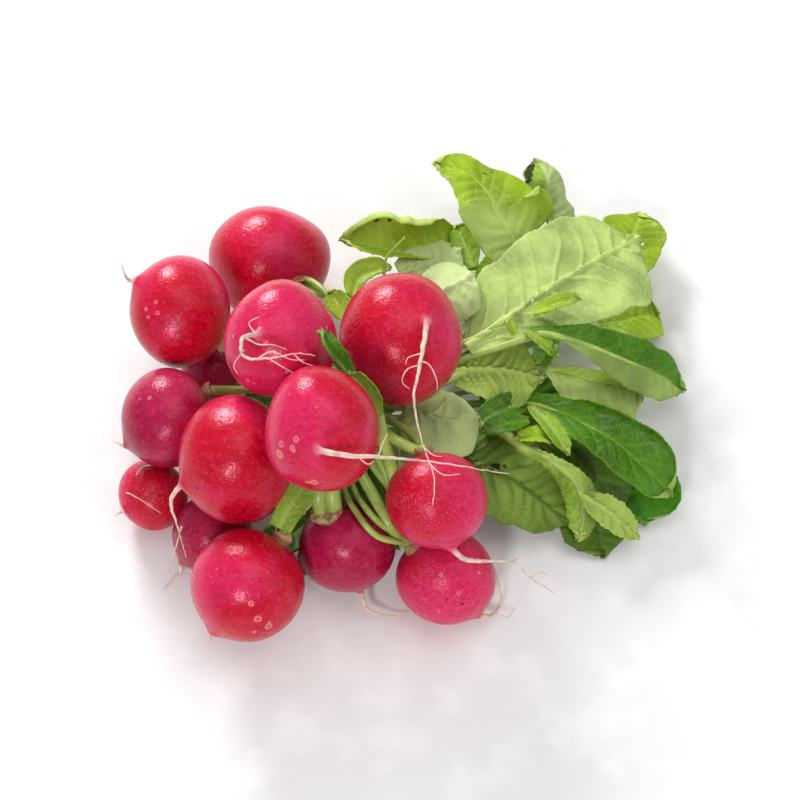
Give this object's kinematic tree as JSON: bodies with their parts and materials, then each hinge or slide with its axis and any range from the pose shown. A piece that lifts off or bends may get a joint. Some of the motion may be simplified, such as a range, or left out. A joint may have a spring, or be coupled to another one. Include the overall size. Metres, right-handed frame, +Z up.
{
  "type": "bunch of radishes",
  "caption": "Bunch of round red radishes with their leaves on, tied at the stalks and lying on its side.",
  "frame": {"origin": "centre of the bunch's footprint, on the surface it lies on", "axes": "+X from the globes towards the leaf tips, along the longest side; +Y across, away from the viewer; +Z up, the shortest side"},
  "size_m": [0.1828, 0.1811, 0.0863],
  "materials": {
    "radish": "satin",
    "leaf": "matte",
    "band": "matte"
  },
  "bodies": {
    "root": {"radish_01": "radish", "radish_02": "radish", "radish_03": "radish", "radish_04": "radish", "radish_05": "radish", "radish_06": "radish", "radish_07": "radish", "radish_08": "radish", "radish_09": "radish", "radish_10": "radish", "radish_11": "radish", "radish_12": "radish", "radish_13": "radish", "radish_14": "radish", "leaf_01": "leaf", "leaf_02": "leaf", "leaf_03": "leaf", "leaf_04": "leaf", "leaf_05": "leaf", "leaf_06": "leaf", "leaf_07": "leaf", "leaf_08": "leaf", "leaf_09": "leaf", "leaf_10": "leaf", "leaf_11": "leaf", "leaf_12": "leaf", "leaf_13": "leaf", "leaf_14": "leaf", "leaf_15": "leaf", "leaf_16": "leaf", "leaf_17": "leaf", "leaf_18": "leaf", "leaf_19": "leaf", "leaf_20": "leaf", "leaf_21": "leaf", "leaf_22": "leaf", "leaf_23": "leaf", "leaf_24": "leaf", "stalk_band": "band"}
  },
  "joints": []
}
